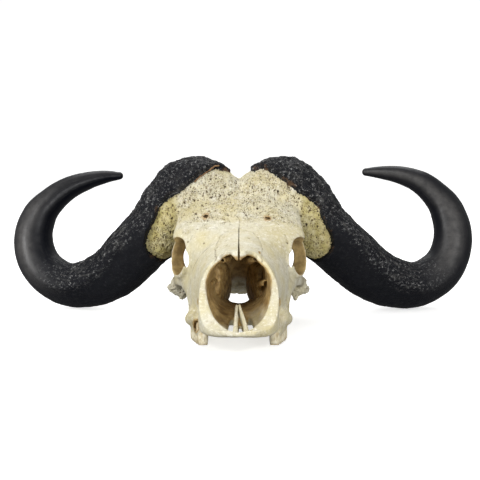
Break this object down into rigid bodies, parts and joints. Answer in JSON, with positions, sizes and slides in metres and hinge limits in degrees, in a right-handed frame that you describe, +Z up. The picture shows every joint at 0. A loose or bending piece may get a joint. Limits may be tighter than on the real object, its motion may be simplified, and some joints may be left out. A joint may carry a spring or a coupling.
{
  "type": "cape buffalo skull",
  "caption": "Life-size horned buffalo skull without its lower jaw: open nose, eye sockets, upper cheek teeth and two hooked horn sheaths over pitted bone.",
  "frame": {"origin": "centre of the bounding box at floor level, under the skull", "axes": "+X across the horns to the skull's longer horn, +Y from the snout towards the back of the skull, +Z up from the floor it lies on"},
  "size_m": [0.9347, 0.5505, 0.307],
  "materials": {
    "old_bone": "dry, matt, pitted",
    "face_bone": "dry, matt",
    "nasal_bone": "dry, slightly smoother",
    "horn_sheath": "horn: rough on the boss, polished to the tip"
  },
  "bodies": {
    "root": {"cranium": "old_bone", "pterygoid_right": "old_bone", "pterygoid_left": "old_bone", "temporal_right": "old_bone", "temporal_left": "old_bone", "maxilla_left": "face_bone", "maxilla_right": "face_bone", "zygomatic_left": "face_bone", "zygomatic_right": "face_bone", "nasal_left": "nasal_bone", "nasal_right": "nasal_bone", "premaxilla_left": "face_bone", "premaxilla_right": "face_bone", "horn_left": "horn_sheath", "horn_right": "horn_sheath"}
  },
  "joints": []
}
